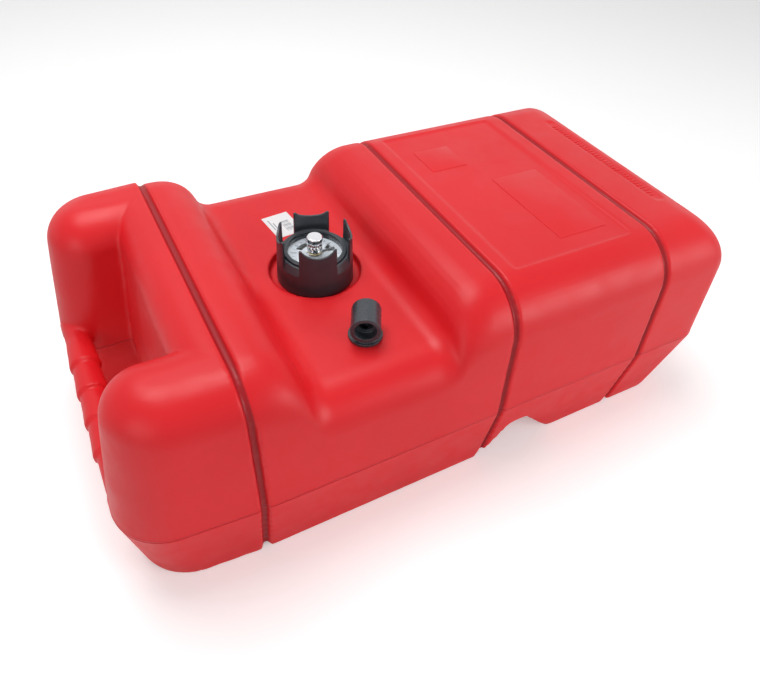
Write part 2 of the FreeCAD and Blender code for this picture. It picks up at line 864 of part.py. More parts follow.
NUT_BASE = LENS_BASE[:-1] + " - nut_height)"
turned_piece("vent_bushing", [
    ("vent_bore", NUT_BASE),
    ("vent_stem", NUT_BASE),
    ("vent_stem", LENS_TOP),
    ("vent_flange", LENS_TOP),
    ("vent_flange - vent_taper", SEAL_BASE),
    ("vent_bore", SEAL_BASE),
])
turned_piece("vent_locknut", tube_profile("vent_stem", "nut_radius", NUT_BASE, LENS_BASE))
turned_piece("vent_seal", tube_profile("vent_bore", "seal_radius", SEAL_BASE, SCREW_BASE))

TIER_TOP = SCREW_BASE[:-1] + " + tier_height)"
KNOB_BASE = TIER_TOP[:-1] + " + knob_groove)"
KNOB_TOP = KNOB_BASE[:-1] + " + knob_height)"
screw = new_body("vent_screw", CAP_X)
revolve(screw, "Turned", [
    ("0", NUT_BASE),
    ("shank_radius", NUT_BASE),
    ("shank_radius", SCREW_BASE),
    ("tier_radius", SCREW_BASE),
    ("tier_radius - tier_draft", TIER_TOP),
    ("groove_radius", TIER_TOP),
    ("groove_radius", KNOB_BASE),
    ("knob_radius - knob_under", KNOB_BASE),
    ("knob_radius", KNOB_BASE + " + knob_under"),
    ("knob_radius", KNOB_TOP + " - knob_edge"),
    ("knob_radius - knob_edge", KNOB_TOP),
    ("0", KNOB_TOP),
])
doc.recompute()


def flute(body):
    """One grip flute in the screw's lower tier."""
    sketch = body.newObject("Sketcher::SketchObject", "FluteCircle")
    sketch.AttachmentSupport = (plane_of(body, "XY_Plane"), [""])
    sketch.MapMode = "FlatFace"
    sketch.setExpression(".AttachmentOffset.Base.z", bound(SCREW_BASE))
    circle = Part.Circle(vec(val("tier_radius"), 0, 0), vec(0, 0, 1), val("flute_radius"))
    sketch.addGeometry(circle, False)
    sketch.addConstraint(Sketcher.Constraint("PointOnObject", 0, 3, -1))
    index = sketch.addConstraint(Sketcher.Constraint("DistanceX", -1, 1, 0, 3, val("tier_radius")))
    sketch.setExpression("Constraints[%d]" % index, bound("tier_radius"))
    index = sketch.addConstraint(Sketcher.Constraint("Radius", 0, val("flute_radius")))
    sketch.setExpression("Constraints[%d]" % index, bound("flute_radius"))
    pocket = body.newObject("PartDesign::Pocket", "Flute")
    pocket.Profile = sketch
    pocket.Reversed = True
    pocket.setExpression("Length", bound("tier_height"))
    return pocket


groove = flute(screw)
flutes = screw.newObject("PartDesign::PolarPattern", "Flutes")
flutes.Originals = [groove]
flutes.Axis = (plane_of(screw, "Z_Axis"), [""])
flutes.Angle = 360
flutes.setExpression("Occurrences", bound("flute_count"))
screw.Tip = flutes
doc.recompute()

# Float gauge: rods, foot, float, slotted driver, twisted strip and pointer

ROD_SIDES = ("0 - rod_spacing", "rod_spacing")


def rod_pair(name, radius, low, high):
    """One cylinder at each of the two guide rods."""
    pair = []
    for number, side in enumerate(ROD_SIDES):
        pair.append(cylinder("%s_%d" % (name, number), radius, low, high, CAP_X, side))
    return pair


made.append(fuse("guide_rods", rod_pair("guide_rod", "rod_radius", FOOT_BASE, STUB_BASE)))

foot_disc = cylinder("foot_disc", "foot_radius", FOOT_BASE, FOOT_TOP, CAP_X)
foot_holes = rod_pair("foot_hole", "rod_radius", FOOT_BASE + " - foot_height", FOOT_TOP + " + foot_height")
foot_holes.append(cylinder("foot_pivot_hole", PIVOT_BORE, FOOT_BASE + " - foot_height",
                           FOOT_TOP + " + foot_height", CAP_X))
made.append(cut("guide_foot", foot_disc, foot_holes))

float_disc = cylinder("float_disc", "float_radius", "float_rest", DRIVER_BASE, CAP_X)
float_holes = rod_pair("float_hole", "rod_radius + float_gap", "0", DRIVER_BASE + " + float_rest")
float_holes.append(cylinder("float_centre", "float_bore", "0", DRIVER_BASE + " + float_rest", CAP_X))
made.append(cut("gauge_float", float_disc, float_holes))

driver_disc = cylinder("driver_disc", "driver_radius", DRIVER_BASE,
                       DRIVER_BASE + " + driver_thickness", CAP_X)
driver_slot = box("driver_slot", "2 * (strip_half_width + slot_gap)", "strip_thickness + 2 * slot_gap",
                  "3 * driver_thickness", CAP_X + " - strip_half_width - slot_gap",
                  "0 - strip_thickness / 2 - slot_gap", DRIVER_BASE + " - driver_thickness")
made.append(cut("float_driver", driver_disc, [driver_slot]))


def twisted_strip():
    """A flat strip wound about its length, square to X where the slot rests on it."""
    low = val(FOOT_TOP + " + strip_clearance")
    high = val(STUB_BASE + " - strip_clearance")
    level = val(DRIVER_BASE + " + driver_thickness / 2")
    half = val("strip_half_width")
    thin = val("strip_thickness / 2")
    steps = 24
    wires = []
    for step in range(steps + 1):
        z = low + (high - low) * step / steps
        turn = math.radians(val("strip_twist") * (z - level))
        corners = []
        for u, v in ((-half, -thin), (half, -thin), (half, thin), (-half, thin)):
            x = val(CAP_X) + u * math.cos(turn) - v * math.sin(turn)
            y = u * math.sin(turn) + v * math.cos(turn)
            corners.append(vec(x, y, z))
        wires.append(Part.makePolygon(corners + corners[:1]))
    strip = Part.makeLoft(wires, True, False)
    base = val(FOOT_BASE)
    tail = Part.makeCylinder(val("pivot_radius"), low - base, vec(val(CAP_X), 0, base))
    tip = val(HUB_TOP)
    shaft = Part.makeCylinder(val("pivot_radius"), tip - high, vec(val(CAP_X), 0, high))
    return strip.fuse([tail, shaft])


HUB_BASE = DIAL_TOP[:-1] + " + running_gap)"
HUB_TOP = HUB_BASE[:-1] + " + hub_height)"
strip = doc.addObject("Part::Feature", "twisted_spindle")
strip.Label = "twisted_spindle"
strip.Shape = twisted_strip()
strip.Placement = FreeCAD.Placement()
made.append(strip)

hub = cylinder("pointer_hub", "hub_radius", HUB_BASE, HUB_TOP, CAP_X)
arm = box("pointer_arm", "pointer_length", "pointer_width", "pointer_thickness",
          CAP_X, "0 - pointer_width / 2", HUB_BASE)
hub_hole = cylinder("pointer_hole", "pivot_radius", DIAL_TOP, HUB_TOP + " + hub_height", CAP_X)
made.append(cut("gauge_pointer", fuse("pointer_blank", [hub, arm]), [hub_hole]))

# Fuel outlet: gasket, screwed base, swivelling elbow, dip tube and strainer

OUTLET_Y = "(0 - outlet_side)"
GASKET_TOP = "(deck_height + outlet_gasket)"
SPIGOT_BASE = "(deck_height - spigot_length)"
SOCKET = "(deck_height - spigot_length / 2)"
STEM_BASE = STEP_TOP[:-1] + " + running_gap - stem_length)"
SOCKET_BASE = STEM_BASE[:-1] + " - stem_end_gap)"
SPIGOT_RADIUS = "(spigot_radius - push_fit)"
STEM_BORE = "(stem_radius + pivot_gap)"
SOCKET_RADIUS = "(tube_radius + pivot_gap)"
washer = tube_profile("spigot_radius", "base_radius - gasket_inset", "deck_height", GASKET_TOP)
turned_piece("outlet_gasket", washer, OUTLET_X, OUTLET_Y)
turned_piece("outlet_base", [
    (SOCKET_RADIUS, SPIGOT_BASE),
    (SPIGOT_RADIUS, SPIGOT_BASE),
    (SPIGOT_RADIUS, GASKET_TOP),
    ("base_radius", GASKET_TOP),
    ("base_radius", GASKET_TOP + " + base_flange"),
    ("base_step_radius", GASKET_TOP + " + base_flange"),
    ("base_step_radius", STEP_TOP),
    (STEM_BORE, STEP_TOP),
    (STEM_BORE, SOCKET_BASE),
    ("passage_radius", SOCKET_BASE),
    ("passage_radius", SOCKET),
    (SOCKET_RADIUS, SOCKET),
], OUTLET_X, OUTLET_Y)


def elbow_shape():
    """A level barrel with its port in one end, on a hollow stem that swivels."""
    x = val(OUTLET_X)
    y = val(OUTLET_Y)
    z = val(BARREL_AXIS)
    heading = math.radians(val("outlet_heading"))
    way = vec(math.cos(heading), math.sin(heading), 0)
    centre = vec(x, y, z)
    back_end = centre - way * val("barrel_back")
    barrel = Part.makeCylinder(val("barrel_radius"), val("barrel_front + barrel_back"), back_end, way)
    ends = [e for e in barrel.Edges if isinstance(e.Curve, Part.Circle)]
    back = [e for e in ends if (e.CenterOfMass - centre).dot(way) < 0]
    barrel = barrel.makeFillet(val("2 * barrel_edge"), back)
    leg_base = vec(x, y, val(STEP_TOP + " + running_gap"))
    leg = Part.makeCylinder(val("barrel_radius - barrel_edge"), val("barrel_radius"), leg_base)
    stem = Part.makeCylinder(val("stem_radius"), z - val(STEM_BASE), vec(x, y, val(STEM_BASE)))
    mouth = centre + way * val("barrel_front")
    port = Part.makeCylinder(val("port_radius"), val("port_depth"), mouth, way * -1)
    rim = val("port_radius + port_chamfer")
    flare = Part.makeCone(rim, val("port_radius"), val("port_chamfer"), mouth, way * -1)
    passage = Part.makeCylinder(val("passage_radius"), z - val(STEM_BASE), vec(x, y, val(STEM_BASE)))
    seat_z = val(STEM_BASE + " + stem_length / 3")
    seat = Part.makeTorus(val("stem_radius"), val("ring_wire"), vec(x, y, seat_z))
    return barrel.fuse([leg, stem]).cut([port, flare, passage, seat])


elbow = doc.addObject("Part::Feature", "outlet_elbow")
elbow.Label = "outlet_elbow"
elbow.Shape = elbow_shape()
elbow.Placement = FreeCAD.Placement()
made.append(elbow)

FILTER_BASE = "(wall + filter_clearance)"
FILTER_TOP = "(wall + filter_clearance + filter_height)"
TUBE_END = "(wall + filter_clearance + filter_height / 2)"
tube = tube_profile("tube_radius - tube_wall", "tube_radius", TUBE_END, SOCKET)
turned_piece("dip_tube", tube, OUTLET_X, OUTLET_Y)
turned_piece("tube_strainer", [
    ("0", FILTER_BASE),
    ("filter_radius", FILTER_BASE),
    ("filter_radius", FILTER_TOP),
    (SOCKET_RADIUS, FILTER_TOP),
    (SOCKET_RADIUS, TUBE_END),
    ("0", TUBE_END),
], OUTLET_X, OUTLET_Y)

# Plain sticker on the deck

LABEL_X = "(label_from_front - tank_length / 2)"
label = new_body("deck_label", LABEL_X, "label_side", "deck_height", "label_turn")
label_sketch = profile_sketch(label, "Outline", [
    ("0 - label_length / 2", "0 - label_width / 2"),
    ("label_length / 2", "0 - label_width / 2"),
    ("label_length / 2", "label_width / 2"),
    ("0 - label_length / 2", "label_width / 2"),
], "XY_Plane")
film = label.newObject("PartDesign::Pad", "Film")
film.Profile = label_sketch
film.setExpression("Length", bound("label_thickness"))
label.Tip = film

doc.recompute()

faults = [o.Name for o in doc.Objects if "Invalid" in o.State or "Error" in o.State]
if faults:
    raise RuntimeError("failed features: " + ", ".join(faults))
os.makedirs("parts", exist_ok=True)
for piece in made:
    if piece.Shape.isNull() or not piece.Shape.isValid():
        raise RuntimeError("bad shape: " + piece.Label)
    piece.Shape.exportStep("parts/%s.step" % piece.Label)
    extent = piece.Shape.BoundBox
    print("%-16s %10.1f mm3, z %.1f to %.1f" % (piece.Label, piece.Shape.Volume, extent.ZMin, extent.ZMax))
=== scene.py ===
import math

import bmesh
import bpy
from mathutils import Euler, Matrix, Vector


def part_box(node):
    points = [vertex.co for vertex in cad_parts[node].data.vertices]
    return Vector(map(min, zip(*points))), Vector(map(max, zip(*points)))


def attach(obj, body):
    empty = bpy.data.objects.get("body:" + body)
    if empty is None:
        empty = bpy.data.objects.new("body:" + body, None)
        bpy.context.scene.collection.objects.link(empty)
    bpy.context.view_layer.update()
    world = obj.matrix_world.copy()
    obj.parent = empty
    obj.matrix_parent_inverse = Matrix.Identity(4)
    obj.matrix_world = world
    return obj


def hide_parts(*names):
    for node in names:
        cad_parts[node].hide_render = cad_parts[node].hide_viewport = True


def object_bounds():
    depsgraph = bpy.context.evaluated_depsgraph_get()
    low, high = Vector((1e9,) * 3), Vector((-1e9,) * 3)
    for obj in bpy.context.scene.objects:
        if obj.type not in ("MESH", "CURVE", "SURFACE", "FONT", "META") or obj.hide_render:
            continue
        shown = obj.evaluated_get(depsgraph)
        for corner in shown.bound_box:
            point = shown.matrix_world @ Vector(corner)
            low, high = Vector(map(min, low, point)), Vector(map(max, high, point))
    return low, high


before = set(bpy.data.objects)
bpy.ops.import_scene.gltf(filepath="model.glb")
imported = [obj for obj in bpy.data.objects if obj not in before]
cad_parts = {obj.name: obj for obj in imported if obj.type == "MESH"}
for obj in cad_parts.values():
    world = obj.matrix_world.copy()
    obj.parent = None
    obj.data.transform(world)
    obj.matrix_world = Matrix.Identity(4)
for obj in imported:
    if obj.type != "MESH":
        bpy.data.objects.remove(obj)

cad_low, cad_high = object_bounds()
scene = bpy.context.scene
scene.view_settings.view_transform = "Standard"


# The view of the photograph: the camera stands close above the near front corner
# of the tank and looks down along it.
eye = bpy.data.cameras.new("camera")
eye.lens = 30.33
eye.sensor_width = 36
camera = bpy.data.objects.new("camera", eye)
camera.location = (-0.27944, -0.46477, 0.58537)
camera.rotation_euler = Euler([math.radians(a) for a in (44.791, -3.230, -28.016)])
scene.collection.objects.link(camera)
scene.camera = camera


# Studio: a white floor, a large soft box overhead, two weaker low ones at the front and
# at the near side, and an even fill from the world, which shows as white behind.
aim = Vector((0, 0, 0.1))


def soft_box(name, place, size, power):
    lamp = bpy.data.lights.new(name, "AREA")
    lamp.shape = "DISK"
    lamp.size = size
    lamp.energy = power
    box = bpy.data.objects.new(name, lamp)
    box.location = place
    box.rotation_euler = (aim - Vector(place)).to_track_quat("-Z", "Y").to_euler()
    scene.collection.objects.link(box)


soft_box("overhead", (-0.2, 0.35, 1.7), 1.1, 18)
soft_box("front_fill", (-1.5, -1.0, 0.7), 1.0, 5)
soft_box("side_fill", (1.1, -1.4, 0.7), 1.0, 11)

world = bpy.data.worlds.new("studio")
world.use_nodes = True
scene.world = world
sky = world.node_tree
background = sky.nodes["Background"]
background.inputs["Color"].default_value = (1, 1, 1, 1)
rays = sky.nodes.new("ShaderNodeLightPath")
seen = sky.nodes.new("ShaderNodeMath")
seen.operation = "MAXIMUM"
sky.links.new(rays.outputs["Is Camera Ray"], seen.inputs[0])
sky.links.new(rays.outputs["Is Glossy Ray"], seen.inputs[1])
through = sky.nodes.new("ShaderNodeMath")
through.operation = "MAXIMUM"
sky.links.new(seen.outputs[0], through.inputs[0])
sky.links.new(rays.outputs["Is Transmission Ray"], through.inputs[1])
strength = sky.nodes.new("ShaderNodeMapRange")
strength.inputs["To Min"].default_value = 0.27
strength.inputs["To Max"].default_value = 1.0
sky.links.new(through.outputs[0], strength.inputs["Value"])
sky.links.new(strength.outputs["Result"], background.inputs["Strength"])

bpy.ops.object.select_all(action="DESELECT")
bpy.ops.mesh.primitive_plane_add(size=12, location=(0, 0, -0.0005))
floor = bpy.context.object
floor.name = "floor"


def node_material(name, roughness):
    """A material with a surface shader, the object's coordinates and a way to add nodes."""
    material = bpy.data.materials.new(name)
    material.use_nodes = True
    shader = material.node_tree.nodes["Principled BSDF"]
    shader.inputs["Roughness"].default_value = roughness
    place = material.node_tree.nodes.new("ShaderNodeTexCoord").outputs["Object"]
    return material, shader, place


def noise(material, place, scale, detail=2.0):
    texture = material.node_tree.nodes.new("ShaderNodeTexNoise")
    texture.inputs["Scale"].default_value = scale
    texture.inputs["Detail"].default_value = detail
    material.node_tree.links.new(place, texture.inputs["Vector"])
    return texture.outputs["Fac"]


def spread(material, value, low, high, start=0.3, end=0.7):
    """A value stretched from one range of numbers to another."""
    mapped = material.node_tree.nodes.new("ShaderNodeMapRange")
    mapped.inputs["From Min"].default_value = start
    mapped.inputs["From Max"].default_value = end
    mapped.inputs["To Min"].default_value = low
    mapped.inputs["To Max"].default_value = high
    material.node_tree.links.new(value, mapped.inputs["Value"])
    return mapped.outputs["Result"]


def tint(material, value, dark, light):
    """A colour that runs from dark to light as the value goes from 0 to 1."""
    mixed = material.node_tree.nodes.new("ShaderNodeMix")
    mixed.data_type = "RGBA"
    mixed.inputs["A"].default_value = (*dark, 1)
    mixed.inputs["B"].default_value = (*light, 1)
    material.node_tree.links.new(value, mixed.inputs["Factor"])
    return mixed.outputs["Result"]


def bump(material, height, distance, strength=1.0, below=None):
    """Relief on the surface, the distance in metres, over what lies below it."""
    relief = material.node_tree.nodes.new("ShaderNodeBump")
    relief.inputs["Distance"].default_value = distance
    relief.inputs["Strength"].default_value = strength
    material.node_tree.links.new(height, relief.inputs["Height"])
    if below:
        material.node_tree.links.new(below, relief.inputs["Normal"])
    return relief.outputs["Normal"]


paper, shader, place = node_material("floor_paper", 0.9)
links = paper.node_tree.links
links.new(tint(paper, noise(paper, place, 30), (0.90, 0.90, 0.90), (0.93, 0.93, 0.93)),
          shader.inputs["Base Color"])
lit = paper.node_tree.nodes.new("ShaderNodeLightPath")
shader.inputs["Emission Color"].default_value = (1, 1, 1, 1)
links.new(spread(paper, lit.outputs["Is Camera Ray"], 0, 0.33, 0, 1), shader.inputs["Emission Strength"])
floor.data.materials.append(paper)


# Tank: one hollow blow-moulding of red polyethylene. A copy of the CAD shell gets the
# stepped finger swells of the grip, and then the soft edges that the mould leaves.
def copy_of(node, name):
    """A merged copy of a CAD node's mesh, which is otherwise loose triangles."""
    piece = bpy.data.objects.new(name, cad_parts[node].data.copy())
    scene.collection.objects.link(piece)
    mesh = bmesh.new()
    mesh.from_mesh(piece.data)
    bmesh.ops.remove_doubles(mesh, verts=mesh.verts, dist=1e-6)
    mesh.to_mesh(piece.data)
    mesh.free()
    piece.data.materials.clear()
    return piece


def alone(piece):
    bpy.ops.object.select_all(action="DESELECT")
    piece.select_set(True)
    bpy.context.view_layer.objects.active = piece


def soften(piece, grain, passes, most, foot=0):
    """Round all edges as a mould does, those below the foot more, and thin the mesh out."""
    alone(piece)
    skin = piece.modifiers.new("skin", "REMESH")
    skin.mode = "VOXEL"
    skin.voxel_size = grain
    bpy.ops.object.modifier_apply(modifier="skin")
    rounding = piece.modifiers.new("rounding", "SMOOTH")
    rounding.factor = 0.5
    rounding.iterations = passes
    bpy.ops.object.modifier_apply(modifier="rounding")
    if foot:
        low = piece.vertex_groups.new(name="foot")
        low.add([point.index for point in piece.data.vertices if point.co.z < foot], 1, "REPLACE")
        wear = piece.modifiers.new("wear", "SMOOTH")
        wear.vertex_group = "foot"
        wear.factor = 0.5
        wear.iterations = 14
        bpy.ops.object.modifier_apply(modifier="wear")
        piece.vertex_groups.remove(piece.vertex_groups["foot"])
    triangles = 2 * len(piece.data.polygons)
    if triangles > most:
        thinning = piece.modifiers.new("thinning", "DECIMATE")
        thinning.ratio = most / triangles
        bpy.ops.object.modifier_apply(modifier="thinning")
    bpy.ops.object.shade_smooth()


front = cad_low[0]
parting = 0.092
tank = copy_of("tank_shell", "tank_skin")
grip_x = front + 0.0143
grip_z = 0.106
grip_end = 0.076
finger = 0.038
swell_thick = 0.0150
swell_thin = 0.0123
swells = []
for number in range(4):
    alone(tank)
    y = grip_end - finger * (number + 0.5)
    bpy.ops.mesh.primitive_cone_add(vertices=48, radius1=swell_thick, radius2=swell_thin, depth=finger,
                                    location=(grip_x, y, grip_z), rotation=(-math.pi / 2, 0, 0))
    swells.append(bpy.context.object)
alone(tank)
for swell in swells:
    swell.select_set(True)
bpy.ops.object.join()
soften(tank, 0.0018, 3, 190000, 0.013)


def sums(material, kind, first, second):
    """One arithmetic step between two values, of which either may be a plain number."""
    step = material.node_tree.nodes.new("ShaderNodeMath")
    step.operation = kind
    for socket, value in zip(step.inputs, (first, second)):
        if isinstance(value, float):
            socket.default_value = value
        else:
            material.node_tree.links.new(value, socket)
    return step.outputs[0]


red, shader, place = node_material("red_polyethylene", 0.4)
shader.inputs["Specular IOR Level"].default_value = 0.32
links = red.node_tree.links
axes = red.node_tree.nodes.new("ShaderNodeSeparateXYZ")
links.new(place, axes.inputs["Vector"])
# Painted shade: the base colour runs to a dark red within about 3 mm of the middle of each groove, and
# more faintly along the parting line, standing in for the shade that falls in these creases.
grooves = (0.117, 0.3664, 0.5517)
groove_middle = 0.0005
nearest = None
for groove in grooves:
    along = sums(red, "SUBTRACT", axes.outputs["X"], front + groove + groove_middle)
    away = sums(red, "ABSOLUTE", along, 0.0)
    nearest = sums(red, "MINIMUM", nearest, away) if nearest else away
from_parting = sums(red, "ABSOLUTE", sums(red, "SUBTRACT", axes.outputs["Z"], parting), 0.0)
cloud = spread(red, noise(red, place, 6), 0, 1)
moulded = tint(red, cloud, (0.72, 0.012, 0.018), (0.78, 0.016, 0.023))
# The dark red below is painted shade for the grooves and the parting crease, not a colour of the plastic.
painted_crease_shade = red.node_tree.nodes.new("ShaderNodeMix")
painted_crease_shade.data_type = "RGBA"
painted_crease_shade.inputs["A"].default_value = (0.36, 0.004, 0.010, 1)
links.new(moulded, painted_crease_shade.inputs["B"])
away_from_painted_shade = sums(red, "MINIMUM", spread(red, nearest, 0, 1, 0.0024, 0.0038),
               spread(red, from_parting, 0.65, 1, 0.0001, 0.0007))
links.new(away_from_painted_shade, painted_crease_shade.inputs["Factor"])
links.new(painted_crease_shade.outputs["Result"], shader.inputs["Base Color"])
links.new(spread(red, noise(red, place, 40, 4), 0.34, 0.46), shader.inputs["Roughness"])
seam = bump(red, spread(red, from_parting, 0, 1, 0.0002, 0.0011), 0.0009)
waves = bump(red, noise(red, place, 22), 0.0012, 0.35, seam)
grain = bump(red, noise(red, place, 1300, 3), 0.00012, 0.35, waves)
links.new(grain, shader.inputs["Normal"])
shader.inputs["Subsurface Weight"].default_value = 0.06
shader.inputs["Subsurface Radius"].default_value = (0.004, 0.001, 0.001)
tank.data.materials.append(red)
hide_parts("tank_shell")
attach(tank, "tank")


# Relief on the rear block: the long pocket at the rear end holds a row of plain ribs and
# the panel two blank pads, all moulded with the tank and standing up from its skin.
def red_relief(name, parts):
    alone(parts[0])
    for part in parts:
        part.select_set(True)
    bpy.ops.object.join()
    piece = bpy.context.object
    piece.name = name
    bpy.ops.object.transform_apply(location=True, rotation=True, scale=True)
    edge = piece.modifiers.new("edge", "BEVEL")
    edge.width = 0.0003
    edge.segments = 3
    bpy.ops.object.modifier_apply(modifier="edge")
    bpy.ops.object.shade_smooth_by_angle(angle=math.radians(40))
    piece.data.materials.append(red)
    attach(piece, "tank")


def bar(length, width, height, place):
    bpy.ops.object.select_all(action="DESELECT")
    bpy.ops.mesh.primitive_cube_add(size=1, location=place)
    solid = bpy.context.object
    solid.scale = (length, width, height)
    bpy.ops.object.transform_apply(location=True, rotation=True, scale=True)
    return solid


pocket_floor = cad_high[2] - 0.002
sunk = 0.001
rib_rise = 0.0007
rib_x = front + 0.6025
first_rib = -0.0825
rib_pitch = 0.005
ribs = []
for number in range(34):
    rib_centre = (rib_x, first_rib + rib_pitch * number, pocket_floor + (rib_rise - sunk) / 2)
    ribs.append(bar(0.0074, 0.0022, rib_rise + sunk, rib_centre))
red_relief("strip_ribs", ribs)

pad_rise = 0.0005
pads = []
for centre_x, centre_y, length, width in ((0.428, 0.070, 0.044, 0.044), (0.486, -0.048, 0.058, 0.116)):
    pad_centre = (front + centre_x, centre_y, pocket_floor + (pad_rise - sunk) / 2)
    pads.append(bar(length, width, pad_rise + sunk, pad_centre))
red_relief("panel_pads", pads)


# Filler cap collar: a ring nut of black nylon with four scooped prongs to turn it by. It
# screws over the neck and clamps the gauge unit. The copy's prongs are wider than the CAD's
# and the scoops between them shallower.
def black_plastic(name, roughness, grain_size):
    material, shader, place = node_material(name, roughness)
    links = material.node_tree.links
    links.new(tint(material, noise(material, place, 60), (0.032, 0.038, 0.047), (0.046, 0.053, 0.064)),
              shader.inputs["Base Color"])
    links.new(spread(material, noise(material, place, 250, 3), roughness - 0.06, roughness + 0.08),
              shader.inputs["Roughness"])
    fine = bump(material, noise(material, place, 1 / grain_size, 3), grain_size / 8, 0.18)
    links.new(fine, shader.inputs["Normal"])
    return material


def eased(value, stops):
    """A value moved along a line through (from, to) stops."""
    for (a, b), (c, d) in zip(stops, stops[1:]):
        if value <= c:
            return b + (value - a) * (d - b) / (c - a)
    return stops[-1][1]


nylon = black_plastic("black_nylon", 0.34, 0.0006)
collar = copy_of("cap_collar", "collar_moulding")
cap_low, cap_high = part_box("cap_collar")
cap_x = (cap_low[0] + cap_high[0]) / 2
root = 0.2000
rim = 0.2076
tip = cap_high[2]
first_prong = 72
turns = ((0, 0), (18.9, 24.0), (22, 29.5), (45, 45))
heights = ((0, 0), (rim, rim), (tip - 0.0095, tip - 0.0064), (tip, tip))
for point in collar.data.vertices:
    if point.co.z < root - 0.00005:
        continue
    radius = math.hypot(point.co.x - cap_x, point.co.y)
    angle = math.degrees(math.atan2(point.co.y, point.co.x - cap_x))
    off = (angle - first_prong + 45) % 90 - 45
    wide = math.radians(angle - off + math.copysign(eased(abs(off), turns), off))
    point.co = (cap_x + radius * math.cos(wide), radius * math.sin(wide), eased(point.co.z, heights))
soften(collar, 0.00045, 4, 60000)
collar.data.materials.append(nylon)
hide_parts("cap_collar")
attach(collar, "collar")


# Gauge unit: a black housing with the dial, the clear lens and the ring that holds it in.
# The neck gasket under its flange is of soft black rubber.
def dress(node, material):
    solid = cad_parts[node]
    solid.data.materials.clear()
    solid.data.materials.append(material)


housing = copy_of("gauge_housing", "gauge_bezel")
soften(housing, 0.00045, 3, 50000)
housing.data.materials.append(nylon)
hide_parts("gauge_housing")
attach(housing, "gauge_unit")
dress("lens_ring", nylon)

rubber, shader, place = node_material("black_rubber", 0.7)
links = rubber.node_tree.links
links.new(tint(rubber, noise(rubber, place, 200), (0.018, 0.018, 0.018), (0.03, 0.03, 0.03)),
          shader.inputs["Base Color"])
links.new(bump(rubber, noise(rubber, place, 1500), 0.0001, 0.5), shader.inputs["Normal"])
for node in ("neck_gasket", "outlet_gasket", "vent_seal"):
    dress(node, rubber)

clear, shader, place = node_material("clear_acrylic", 0.02)
shader.inputs["Base Color"].default_value = (0.97, 0.98, 1.0, 1)
shader.inputs["Transmission Weight"].default_value = 1
shader.inputs["IOR"].default_value = 1.3
haze = bump(clear, noise(clear, place, 300, 3), 0.00005, 0.15)
clear.node_tree.links.new(haze, shader.inputs["Normal"])
dress("gauge_lens", clear)

dial, shader, place = node_material("dial_print", 0.45)
links = dial.node_tree.links
links.new(tint(dial, noise(dial, place, 90), (0.58, 0.62, 0.65), (0.68, 0.71, 0.74)),
          shader.inputs["Base Color"])
dress("gauge_dial", dial)


# Marks on the dial: short printed strokes round the rim, every fourth one longer and
# wider, and two pale bands inside them. They are plain ink on the pale disc.
ink_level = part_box("gauge_dial")[1][2] + 0.00004


def ink_stroke(angle, inner, outer, width):
    """A flat stroke that points to the middle of the dial."""
    bpy.ops.object.select_all(action="DESELECT")
    bpy.ops.mesh.primitive_plane_add(size=1)
    stroke = bpy.context.object
    bpy.ops.object.mode_set(mode="EDIT")
    bpy.ops.transform.resize(value=(outer - inner, width, 1))
    bpy.ops.transform.translate(value=((outer + inner) / 2, 0, 0))
    bpy.ops.object.mode_set(mode="OBJECT")
    stroke.data.transform(Matrix.Translation((cap_x, 0, ink_level)) @ Matrix.Rotation(angle, 4, "Z"))
    return stroke


def one_print(strokes, name, material):
    """Join flat printed strokes into one piece of one ink."""
    alone(strokes[0])
    for stroke in strokes:
        stroke.select_set(True)
    bpy.ops.object.join()
    piece = bpy.context.object
    piece.name = name
    piece.data.materials.append(material)
    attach(piece, "gauge_unit")


strokes = []
for number in range(17):
    angle = math.radians(-40 + 16.2 * number)
    inner, width = (0.0175, 0.0009) if number % 4 == 0 else (0.0205, 0.0005)
    strokes.append(ink_stroke(angle, inner, 0.0235, width))
ink, shader, place = node_material("grey_ink", 0.5)
ink.node_tree.links.new(tint(ink, noise(ink, place, 500), (0.10, 0.11, 0.12), (0.18, 0.19, 0.20)),
                        shader.inputs["Base Color"])
one_print(strokes, "dial_marks", ink)

bands = []
for start, count in ((95, 26), (-8, 20)):
    for number in range(count):
        bands.append(ink_stroke(math.radians(start + 1.6 * number), 0.0135, 0.0196, 0.0009))
wash, shader, place = node_material("pale_grey_ink", 0.5)
wash.node_tree.links.new(tint(wash, noise(wash, place, 400), (0.32, 0.35, 0.38), (0.40, 0.43, 0.46)),
                         shader.inputs["Base Color"])
one_print(bands, "dial_bands", wash)


# Vent: a chromed bushing through the lens and a chromed thumb screw with a fluted tier
# under its knob, both a little slimmer than the CAD's. A brass nut holds the bushing.
def metal(name, colour, roughness, scale):
    material, shader, place = node_material(name, roughness)
    links = material.node_tree.links
    shader.inputs["Metallic"].default_value = 1
    worn = tuple(0.86 * part for part in colour)
    links.new(tint(material, noise(material, place, scale, 4), worn, colour), shader.inputs["Base Color"])
    links.new(spread(material, noise(material, place, scale * 3, 3), roughness - 0.04, roughness + 0.08),
              shader.inputs["Roughness"])
    return material


chrome = metal("chrome_plate", (0.86, 0.87, 0.89), 0.12, 150)
seal_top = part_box("vent_seal")[1][2]
slimmer = 0.87
vents = (("vent_screw", "vent_knob", "screw"), ("vent_bushing", "vent_collar", "gauge_unit"))
for node, name, body in vents:
    turned = copy_of(node, name)
    for point in turned.data.vertices:
        if point.co.z > seal_top + 0.00005:
            point.co.x = cap_x + slimmer * (point.co.x - cap_x)
            point.co.y *= slimmer
    soften(turned, 0.0002, 2, 40000)
    turned.data.materials.append(chrome)
    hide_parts(node)
    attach(turned, body)

brass = metal("turned_brass", (0.78, 0.60, 0.30), 0.28, 200)
steel = metal("drawn_steel", (0.62, 0.63, 0.65), 0.26, 200)
for node in ("vent_locknut", "float_driver", "twisted_spindle"):
    dress(node, brass)


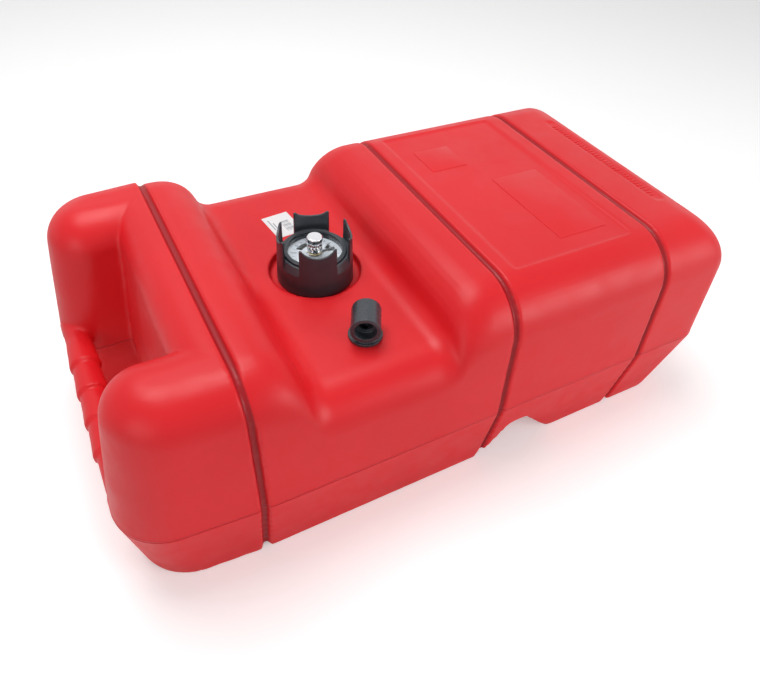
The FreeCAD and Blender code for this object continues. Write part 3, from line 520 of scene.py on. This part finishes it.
# Float gauge inside the tank: two steel rods with a plastic foot, a foam float and its
# twisted brass strip, which turns the dark pointer over the dial.
dress("guide_rods", steel)
foam, shader, place = node_material("float_foam", 0.85)
links = foam.node_tree.links
links.new(tint(foam, noise(foam, place, 400, 4), (0.05, 0.05, 0.055), (0.11, 0.11, 0.115)),
          shader.inputs["Base Color"])
links.new(bump(foam, noise(foam, place, 900, 4), 0.0003, 0.8), shader.inputs["Normal"])
dress("gauge_float", foam)
dress("guide_foot", nylon)
enamel, shader, place = node_material("pointer_enamel", 0.3)
smoky = tint(enamel, noise(enamel, place, 300), (0.03, 0.032, 0.036), (0.05, 0.052, 0.056))
enamel.node_tree.links.new(smoky, shader.inputs["Base Color"])
dress("gauge_pointer", enamel)


# Fuel outlet: a black nylon elbow that swivels on a two-step base screwed into the deck,
# with a dip tube down to a brass mesh strainer. The elbow's copy is a little larger than
# the CAD's above its foot, and a counterbore gives it a wide mouth.
glossy = black_plastic("outlet_nylon", 0.28, 0.0005)
base_low, base_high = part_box("outlet_base")
pivot = Vector(((base_low[0] + base_high[0]) / 2, (base_low[1] + base_high[1]) / 2, base_high[2]))
heading = math.radians(-118.5)
forward = Vector((math.cos(heading), math.sin(heading), 0))
sideways = Vector((-forward.y, forward.x, 0))
elbow = copy_of("outlet_elbow", "elbow_moulding")
longer = 1.06
thicker = 1.12
foot_gap = 0.0003
for point in elbow.data.vertices:
    if point.co.z > pivot.z + 0.0004:
        offset = point.co - pivot
        along = forward * offset.dot(forward) * longer
        across = sideways * offset.dot(sideways) * thicker
        point.co = pivot + along + across + Vector((0, 0, foot_gap + (offset.z - foot_gap) * thicker))
bore_axis = pivot.z + foot_gap + 0.0123 * thicker
mouth = pivot + forward * 0.0142
bpy.ops.object.select_all(action="DESELECT")
bpy.ops.mesh.primitive_cylinder_add(vertices=64, radius=0.0098, depth=0.018,
                                    location=(mouth.x, mouth.y, bore_axis),
                                    rotation=(math.pi / 2, 0, heading + math.pi / 2))
counterbore = bpy.context.object
alone(elbow)
socket = elbow.modifiers.new("socket", "BOOLEAN")
socket.operation = "DIFFERENCE"
socket.object = counterbore
bpy.ops.object.modifier_apply(modifier="socket")
bpy.data.objects.remove(counterbore)
base = copy_of("outlet_base", "base_moulding")
for fitting, node, body in ((elbow, "outlet_elbow", "elbow"), (base, "outlet_base", "tank")):
    soften(fitting, 0.0003, 4, 60000)
    fitting.data.materials.append(glossy)
    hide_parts(node)
    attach(fitting, body)
dress("dip_tube", glossy)
gauze = metal("strainer_gauze", (0.72, 0.56, 0.30), 0.4, 1500)
dress("tube_strainer", gauze)


# Sticker on the deck: a white film with rounded corners and faint grey print, which is
# two plain blocks and a few ruled lines.
film_low, film_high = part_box("deck_label")
film_x = (film_low[0] + film_high[0]) / 2
film_y = (film_low[1] + film_high[1]) / 2
film, shader, place = node_material("white_film", 0.35)
film.node_tree.links.new(tint(film, noise(film, place, 120), (0.82, 0.82, 0.83), (0.88, 0.88, 0.89)),
                         shader.inputs["Base Color"])
dress("deck_label", film)


def printed(length, width, x, y):
    block = bar(length, width, 0.00006, (x, y, film_high[2]))
    about = Matrix.Translation((film_x, film_y, 0)) @ Matrix.Rotation(math.radians(6), 4, "Z")
    block.data.transform(about)
    return block


blocks = [printed(0.0012, 0.0200, -0.0105, 0.004), printed(0.0012, 0.0130, -0.0075, 0.0005)]
for number in range(9):
    blocks.append(printed(0.0090, 0.0006 + 0.0005 * (number % 3), 0.0045, -0.0125 + 0.0022 * number))
alone(blocks[0])
for block in blocks:
    block.select_set(True)
bpy.ops.object.join()
sheet = bpy.context.object
sheet.name = "film_print"
sheet.data.materials.append(wash)
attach(sheet, "tank")
